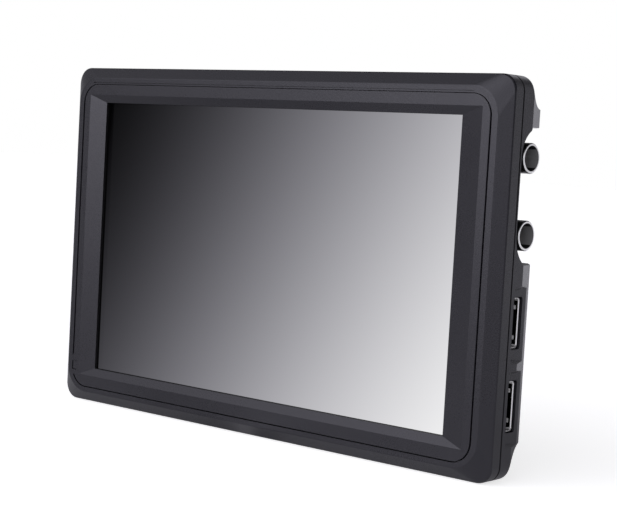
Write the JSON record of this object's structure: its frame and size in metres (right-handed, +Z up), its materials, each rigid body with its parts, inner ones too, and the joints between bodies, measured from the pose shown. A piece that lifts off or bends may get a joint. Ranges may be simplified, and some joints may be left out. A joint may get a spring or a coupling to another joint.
{
  "type": "camera field monitor",
  "caption": "Slim field monitor for a camera: bevelled frame around a bright screen, coaxial and flat video sockets at the side, top buttons and wheel, battery plate behind.",
  "frame": {"origin": "under the middle of the casing, on the plane of its bottom edge, half way through its depth", "axes": "+X to the right seen from the front, +Y from the screen to the rear, +Z up"},
  "size_m": [0.1836, 0.031, 0.1187],
  "materials": {
    "casing": "fine mould texture",
    "bezel": "fine mould texture",
    "foam": "matt",
    "screen_glass": "polished",
    "screen_cell": "polished",
    "white_film": "satin",
    "light_guide": "polished",
    "led_board": "satin",
    "steel_sheet": "plain",
    "zinc_screw": "plain",
    "black_screw": "black oxide",
    "flex_film": "satin",
    "circuit_board": "satin",
    "chip": "matt",
    "silicone": "matt",
    "aluminium": "satin",
    "brass": "plain",
    "steel": "satin",
    "nickel": "polished",
    "socket_insert": "matt",
    "light_pipe": "clear",
    "button": "matt",
    "wheel": "knurled",
    "white_moulding": "satin",
    "plate": "fine mould texture",
    "latch": "satin"
  },
  "bodies": {
    "case": {"front_frame": "casing", "frame_inserts": "brass", "screen_bezel": "bezel", "screen_gasket": "foam", "lcd_glass": "screen_glass", "lcd_cell": "screen_cell", "diffuser_films": "white_film", "light_guide": "light_guide", "led_bar": "led_board", "reflector_sheet": "white_film", "panel_tray": "steel_sheet", "panel_screws": "zinc_screw", "panel_flex": "flex_film", "main_board": "circuit_board", "board_chips": "chip", "board_screws": "zinc_screw", "thermal_pad": "silicone", "heat_sink": "aluminium", "key_board": "circuit_board", "key_switches": "chip", "key_cable": "flex_film", "rear_cover": "casing", "case_screws": "black_screw", "stand_inserts": "brass", "tripod_insert": "steel", "service_port_shell": "nickel", "service_port_tongue": "socket_insert", "phones_jack": "socket_insert", "supply_jack": "socket_insert", "supply_pin": "nickel", "power_light": "light_pipe", "wheel_switch": "chip", "battery_plate": "plate", "plate_screws": "black_screw", "contact_block": "plate", "battery_contacts": "brass", "latch_spring": "steel", "coax_in_shell": "nickel", "coax_in_insulator": "socket_insert", "coax_in_contact": "brass", "coax_in_nut": "nickel", "coax_out_shell": "nickel", "coax_out_insulator": "socket_insert", "coax_out_contact": "brass", "coax_out_nut": "nickel", "av_in_shell": "nickel", "av_in_tongue": "socket_insert", "av_out_shell": "nickel", "av_out_tongue": "socket_insert"},
    "power_button_body": {"power_button": "button"},
    "input_button_body": {"input_button": "button"},
    "function_button_1_body": {"function_button_1": "button"},
    "function_button_2_body": {"function_button_2": "button"},
    "function_button_3_body": {"function_button_3": "button"},
    "function_button_4_body": {"function_button_4": "button"},
    "wheel_carrier": {"wheel_cradle": "white_moulding"},
    "wheel": {"menu_wheel": "wheel", "wheel_axle": "steel"},
    "latch": {"battery_latch": "latch"}
  },
  "joints": [
    {"name": "power_press", "type": "slide", "parent": "case", "child": "power_button_body", "axis": [0, 0, -1], "range_m": [0, 0.0006], "stiffness_N_per_m": 2500},
    {"name": "input_press", "type": "slide", "parent": "case", "child": "input_button_body", "axis": [0, 0, -1], "range_m": [0, 0.0006], "stiffness_N_per_m": 2500},
    {"name": "function_1_press", "type": "slide", "parent": "case", "child": "function_button_1_body", "axis": [0, 0, -1], "range_m": [0, 0.0006], "stiffness_N_per_m": 2500},
    {"name": "function_2_press", "type": "slide", "parent": "case", "child": "function_button_2_body", "axis": [0, 0, -1], "range_m": [0, 0.0006], "stiffness_N_per_m": 2500},
    {"name": "function_3_press", "type": "slide", "parent": "case", "child": "function_button_3_body", "axis": [0, 0, -1], "range_m": [0, 0.0006], "stiffness_N_per_m": 2500},
    {"name": "function_4_press", "type": "slide", "parent": "case", "child": "function_button_4_body", "axis": [0, 0, -1], "range_m": [0, 0.0006], "stiffness_N_per_m": 2500},
    {"name": "wheel_press", "type": "slide", "parent": "case", "child": "wheel_carrier", "axis": [0, 0, -1], "range_m": [0, 0.0005], "stiffness_N_per_m": 4000},
    {"name": "wheel_turn", "type": "hinge", "parent": "wheel_carrier", "child": "wheel", "pos_m": [0.054, -0.0003, 0.11225], "axis": [1, 0, 0], "continuous": true},
    {"name": "latch_press", "type": "slide", "parent": "case", "child": "latch", "axis": [0, -1, 0], "range_m": [0, 0.002], "stiffness_N_per_m": 1500}
  ]
}
